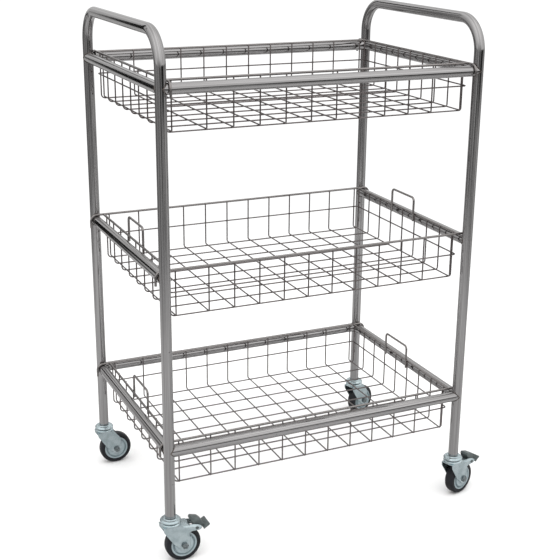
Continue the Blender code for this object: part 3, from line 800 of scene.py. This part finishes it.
def arm(sign):
    """The arm that carries the brake pedal: rows go out from the leg to its rounded end.

    Above a fold line the sheet leans inwards by about half its height above the fold."""
    turn = np.radians([20, 40, 55, 68, 79, 87])
    x_row = np.concatenate([np.linspace(0.014, ARM_ROUND, 26),
                            ARM_ROUND + ARM_ROUND_REACH * np.sin(turn)])
    tip = np.sqrt(np.clip(1 - ((x_row - ARM_ROUND) / 0.0071).clip(0) ** 2, 0.02, 1.0))
    lower_edge = rounded([(0.010, 0, 0.0615), (0.0340, 0, 0.0635), (0.0400, 0, 0.0668),
                          (0.0700, 0, 0.0665)], 0.006)[:, ::2]
    low = np.interp(x_row, lower_edge[:, 0], lower_edge[:, 1])
    high = np.interp(x_row, [0.010, 0.019, 0.031, 0.048, 0.0625], [0.0850, 0.0850, 0.0828, 0.0800, 0.0762])
    centre = (low + high) / 2
    low, high = centre + (low - centre) * tip, centre + (high - centre) * tip
    z, drop = across_sheet(low, high)
    x = np.broadcast_to(x_row[:, None], z.shape)
    fold = np.interp(x, [0.014, 0.030, 0.0625], [0.0790, 0.0775, 0.0722])
    lean = np.maximum(z - fold, 0.0)
    outer = LEG_OUT - 0.0001 + 0.0003 * soft_step(x, 0.020, 0.030) - 0.55 * lean
    return pressed_sheet(x, z, outer, drop, sign)


def deck():
    """The sheet that bridges both arms between the bearing and the pedal."""
    outline = [(0.0180, 0.0854), (0.0310, 0.0830), (0.0370, 0.0819), (0.0370, 0.0799),
               (0.0310, 0.0810), (0.0180, 0.0834)]
    return plate(outline, -0.0150, 0.0150, 0.0006)


def crown():
    """The plate across the top of both legs, its corners cut."""
    outline = [(-0.0205, -0.008), (-0.0190, -LEG_OUT), (0.0180, -LEG_OUT), (0.0205, -0.008),
               (0.0205, 0.008), (0.0180, LEG_OUT), (-0.0190, LEG_OUT), (-0.0205, 0.008)]
    flat = rounded([(x, 0, y) for x, y in outline], 0.002, 5, closed=True)[:, ::2]
    lie = Matrix(((1, 0, 0, 0), (0, 0, -1, 0), (0, 1, 0, CROWN_TOP), (0, 0, 0, 1)))
    return plate(flat, -0.002, 0.0, 0.0007).moved(lie)


def fork(braked):
    """The lower bearing ring, crown and legs, and with a brake also its arms and deck."""
    shapes = [race, crown()] + [leg(sign) for sign in (-1, 1)]
    return shapes + [arm(sign) for sign in (-1, 1)] + [deck()] if braked else shapes


print("fork of", len(fork(True)), "pressed shapes")

# %% [markdown]
# The wheel is a dished plastic disc with a groove before its rim, and a rubber tyre with a rounded
# tread. Both are turned profiles, drawn for one half and mirrored for the other.

# %% Wheel and tyre


def mirrored(half):
    """A half profile of (radius, height) and its mirror image below the middle."""
    return half + [(radius, -height) for radius, height in reversed(half)]


core_half = [(0.0045, 0.0134), (0.0110, 0.0134), (0.0130, 0.0127), (0.0198, 0.0122),
             (0.0208, 0.0050), (0.0236, 0.0050), (0.0246, 0.0107), (0.0274, 0.0107),
             (0.0276, 0.0098), (0.0291, 0.0096)]
wheel_core = about_axle(turned(smooth_profile(mirrored(core_half), 0.0005), 80))
tread = np.radians(np.linspace(8.0, 90.0, 9))
tyre_half = [(0.0294, 0.0098), (0.0279, 0.0102), (0.0283, 0.0112), (0.0322, 0.0115)]
tyre_half += list(zip(0.0325 + (WHEEL_R - 0.0325) * np.sin(tread), 0.0042 + 0.0073 * np.cos(tread)))
tyre = about_axle(turned(mirrored(tyre_half), 96))
print("wheel of", len(wheel_core.sizes), "faces, tyre of", len(tyre.sizes))

# %% [markdown]
# The axle is a hexagon bolt and nut. A hexagon is a circle whose radius is limited to
# flat / cos(angle from the middle of a side), and the turned chamfer is a second, round limit.

# %% Axle bolt and nut
HEX_FLAT = 0.0072 * math.cos(math.pi / 6)
AXLE_R = 0.004
THREAD_PITCH, THREAD_DEPTH = 0.0010, 0.0003


def hexagon(low, high, sides=48):
    """A hexagon head or nut: rings of a hexagon bar, each held inside its own circle."""
    limit, height = np.array([(0.0062, low), (0.0067, low + 0.0002), (0.0080, low + 0.0006),
                              (0.0080, high - 0.0008), (0.0067, high - 0.0003), (0.0060, high)]).T
    angle = np.linspace(0.0, 2 * np.pi, sides, endpoint=False)
    flat = HEX_FLAT / np.cos(angle % (np.pi / 3) - np.pi / 6)
    radius = np.minimum(flat, limit[:, None])
    return skin(np.stack([radius * np.cos(angle), radius * np.sin(angle),
                          np.broadcast_to(height[:, None], radius.shape)], axis=-1))


def threaded(low, high, sides=24):
    """A rod with a helical groove: its radius dips by a cosine of height and angle together."""
    height = np.linspace(low, high, 6 * int((high - low) / THREAD_PITCH))[:, None]
    angle = np.linspace(0.0, 2 * np.pi, sides, endpoint=False)
    wave = 0.5 + 0.5 * np.cos(2 * np.pi * height / THREAD_PITCH + angle)
    radius = AXLE_R - THREAD_DEPTH * wave
    return skin(np.stack([radius * np.cos(angle), radius * np.sin(angle),
                          np.broadcast_to(height, radius.shape)], axis=-1))


axle_bolt = [about_axle(s) for s in (hexagon(0.0162, 0.0203), threaded(-0.0232, 0.0165))]
axle_nut = [about_axle(hexagon(-0.0208, -0.0163))]
print("bolt and nut made")

# %% [markdown]
# The brake pedal is one moulding: a lever between the fork's arms and a wide ribbed foot pad. Its
# side view is an outline given a width. The ribs are a sine along the pad's upper face.

# %% Brake pedal
RIBS, RIB_HEIGHT = 6, 0.0003


def at_pivot(outline):
    """An outline drawn about the pedal's pivot, moved there."""
    return np.array(outline) + np.array(PEDAL_PIVOT)


lever_corners = [(-0.0100, 0.0125), (-0.0115, 0.0170), (-0.0085, 0.0208), (-0.0030, 0.0190),
                 (0.0065, 0.0165), (0.0135, 0.0100), (0.0180, 0.0020), (0.0160, -0.0035),
                 (-0.0040, -0.0035), (-0.0050, 0.0055)]
lever = plate(at_pivot(smooth_profile(lever_corners, 0.0022, 6)), -0.0100, 0.0100, 0.0012)
pad_near, pad_far = np.array((0.0132, -0.0028)), np.array((0.0264, 0.0044))
share = np.linspace(0.04, 0.96, 60)[:, None]
pad_up = np.array((-0.481, 0.877))
ribbed = (pad_near + share * (pad_far - pad_near)
          - RIB_HEIGHT * (1 + np.cos(2 * np.pi * RIBS * share)) * pad_up)
pad_outline = np.concatenate([ribbed, [(0.0275, 0.0040), (0.0280, 0.0020), (0.0272, 0.0010)],
                              [(0.0157, -0.0061), (0.0149, -0.0061), (0.0133, -0.0034)]])
pad = plate(at_pivot(pad_outline), -0.0170, 0.0170, 0.0009)
pin_profile = smooth_profile(mirrored([(0.0001, 0.0172), (0.0034, 0.0172), (0.0034, 0.0163),
                                       (0.0020, 0.0163)]), 0.0002)
pin = turned(pin_profile, 32).moved(
    Matrix.Translation((PEDAL_PIVOT[0], 0.0, PEDAL_PIVOT[1])) @ Matrix.Rotation(math.pi / 2, 4, "X"))
print("pedal of", len(lever.sizes) + len(pad.sizes), "faces")

# %% [markdown]
# Now the shapes are stood in their four places. The cap stays with the post, the fork, bolt and
# nut turn with the swivel, and the disc and tyre spin.

# %% Place the casters
for corner in CORNERS:
    there = caster_place(corner)
    braked = f"{corner}_caster_brake_pedal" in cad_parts
    plated, swivel, wheel = "zinc_plated_steel", f"{corner}_caster_swivel", f"{corner}_caster_wheel"
    pieces_here = [("upper_ring", [cap], "cart_frame", plated, zinc),
                   ("fork", fork(braked), swivel, plated, zinc),
                   ("axle_bolt", axle_bolt, swivel, plated, bolt_steel),
                   ("axle_nut", axle_nut, swivel, plated, bolt_steel),
                   ("wheel_core", [wheel_core], wheel, "grey_plastic", hub_plastic),
                   ("tyre", [tyre], wheel, "black_rubber", rubber)]
    if braked:
        pieces_here.append(("brake_pedal", [lever, pad, pin], f"{corner}_brake_pedal",
                            "pedal_plastic", pedal_plastic))
    for kind, shapes, body, slot, finish in pieces_here:
        node = f"{corner}_caster_{kind}"
        piece(f"fine_{node}", [shape.moved(there) for shape in shapes], body, finish, [node])
    stem = bpy.data.objects[f"{corner}_caster_stem"]
    stem.data.materials.clear()
    stem.data.materials.append(zinc)
print(len(pieces), "pieces in all")

# %% [markdown]
# ## Floor and studio
# Polished tube shows little of itself: it shows the room. The room here has a pale ceiling, pale
# walls behind the cart, and in front a darker surround below the horizon with a few paler strips.
# Two dark upright flags behind the cart draw the dark lines along the side tubes, and a dark band
# at the horizon in front draws the one along the long rails. The round pale floor fades out: far
# above it the posts mirror the dark surround, and near it they mirror the floor.

# %% Floor
FLOOR_HALF = 4.0
FLOOR_FADE = (0.9, 2.3)

floor_mesh = bpy.data.meshes.new("floor")
floor_mesh.from_pydata([(-FLOOR_HALF, -FLOOR_HALF, 0), (FLOOR_HALF, -FLOOR_HALF, 0),
                        (FLOOR_HALF, FLOOR_HALF, 0), (-FLOOR_HALF, FLOOR_HALF, 0)], [], [(0, 1, 2, 3)])
floor = bpy.data.objects.new("floor", floor_mesh)
bpy.context.scene.collection.objects.link(floor)
pale = Finish("pale_floor", Roughness=0.9, Specular_IOR_Level=0.1)
distance = pale.node("ShaderNodeVectorMath", {"operation": "LENGTH"}, {0: pale.place()}, "Value")
seen_directly = pale.node("ShaderNodeLightPath", None, None, "Is Camera Ray")
floor_tone = pale.mix(seen_directly, (0.52, 0.52, 0.52), (0.93, 0.93, 0.93))
floor_mesh.materials.append(pale.give(Base_Color=floor_tone, Alpha=1 - distance.between(*FLOOR_FADE)))
print("floor", 2 * FLOOR_HALF, "m across")

# %% Studio surround and light


def bearing(turn, lift):
    """A direction from its angle anticlockwise from +x and its height, in degrees."""
    turn, lift = math.radians(turn), math.radians(lift)
    return (math.cos(turn) * math.cos(lift), math.sin(turn) * math.cos(lift), math.sin(lift))


world = bpy.data.worlds.new("studio")
bpy.context.scene.world = world
world.use_nodes = True
world.node_tree.nodes.clear()
room = Graph(world.node_tree)
towards = room.node("ShaderNodeTexCoord", None, None, "Generated")
axes = room.tree.nodes.new("ShaderNodeSeparateXYZ")
room.feed(axes.inputs[0], towards)
height = Value(room, axes.outputs[2])


def near_to(direction, inner, outer):
    """1 within the inner angle of a direction, 0 beyond the outer one, in degrees."""
    cosine = room.node("ShaderNodeVectorMath", {"operation": "DOT_PRODUCT"},
                       {0: towards, 1: tuple(direction)}, "Value")
    return cosine.between(math.cos(math.radians(outer)), math.cos(math.radians(inner)))


def upright_flag(turn, inner, outer):
    """1 on a narrow upright strip behind the cart, centred on a bearing in degrees.

    Its two half widths are sines of the angle away from that bearing."""
    level = bearing(turn - 90.0, 0.0)
    across = room.node("ShaderNodeVectorMath", {"operation": "DOT_PRODUCT"}, {0: towards, 1: level}, "Value")
    return (1 - across.math("ABSOLUTE", across).between(inner, outer)) * behind


# The surround below the horizon: pale strips and patches in front, plainer and paler behind.
behind = Value(room, axes.outputs[1]).between(-0.2, 0.5)
stretched = room.node("ShaderNodeVectorMath", {"operation": "MULTIPLY"},
                      {0: towards, 1: (7.0, 7.0, 0.4)}, "Vector")
strips = room.noise(stretched, 1.6, 3.0, 0.6).between(0.46, 0.60)
pale_patches = near_to(bearing(331.0, -14.0), 5.0, 17.0) + near_to(bearing(292.0, -16.0), 2.0, 8.0) * 0.5
dim_patch = near_to(bearing(249.0, -9.0), 5.0, 12.0) * 0.65
front_low = (0.20 + strips * 0.42 + pale_patches * 0.40) * (1 - dim_patch)
surround = front_low + behind * (0.62 - front_low)

# The ceiling and upper walls take over at the horizon, more slowly on the side the camera is on.
ceiling = 1.05 + height.between(0.1, 0.9) * 0.35 - behind * 0.32
facing = near_to(bearing(240.0, 10.0), 24.0, 52.0)
rise = height.between(-0.03, 0.04) * (1 - facing) + height.between(-0.10, 0.42) * facing
glow = surround + rise * (ceiling - surround)

# The dark flags, the dark band at the horizon, and a dim patch low on the left.
flags = upright_flag(110.2, 0.060, 0.070) + upright_flag(122.0, 0.022, 0.040) * 0.6
flags = flags * (1 - height.between(0.45, 0.60)) * (0.55 + 0.45 * height.between(-0.30, -0.12))
horizon = height.between(-0.22, -0.12) * (1 - height.between(0.02, 0.08)) * (1 - behind)
horizon = horizon * near_to(bearing(297.0, -3.0), 16.0, 30.0)
left_low = near_to(bearing(142.0, -14.0), 12.0, 20.0)
glow = glow * (1 - flags * 0.99) * (1 - horizon * 0.93) * (1 - left_low * 0.7)
lit = room.node("ShaderNodeBackground", None, {"Color": (1.0, 0.995, 0.99), "Strength": glow})
backdrop = room.node("ShaderNodeBackground", None, {"Color": (1.0, 1.0, 1.0), "Strength": 1.1})
seen = room.node("ShaderNodeLightPath", None, None, "Is Camera Ray")
both = room.node("ShaderNodeMixShader", None, {0: seen, 1: lit, 2: backdrop})
out = room.tree.nodes.new("ShaderNodeOutputWorld")
room.tree.links.new(both.socket, out.inputs["Surface"])

# One round softbox overhead lights the floor and the matt parts; the tube does not mirror it.
SOFTBOX_PLACE, SOFTBOX_TARGET = Vector((-0.4, -0.8, 3.4)), Vector((0.0, 0.0, 0.4))
softbox = bpy.data.lights.new("softbox", "AREA")
softbox.shape, softbox.size, softbox.energy = "DISK", 3.0, 60.0
softbox_object = bpy.data.objects.new("softbox", softbox)
softbox_object.location = SOFTBOX_PLACE
softbox_object.rotation_euler = (SOFTBOX_TARGET - SOFTBOX_PLACE).to_track_quat("-Z", "Y").to_euler()
softbox_object.visible_glossy = False
bpy.context.scene.collection.objects.link(softbox_object)
bpy.context.scene.view_settings.view_transform = "Standard"
print("studio ready")
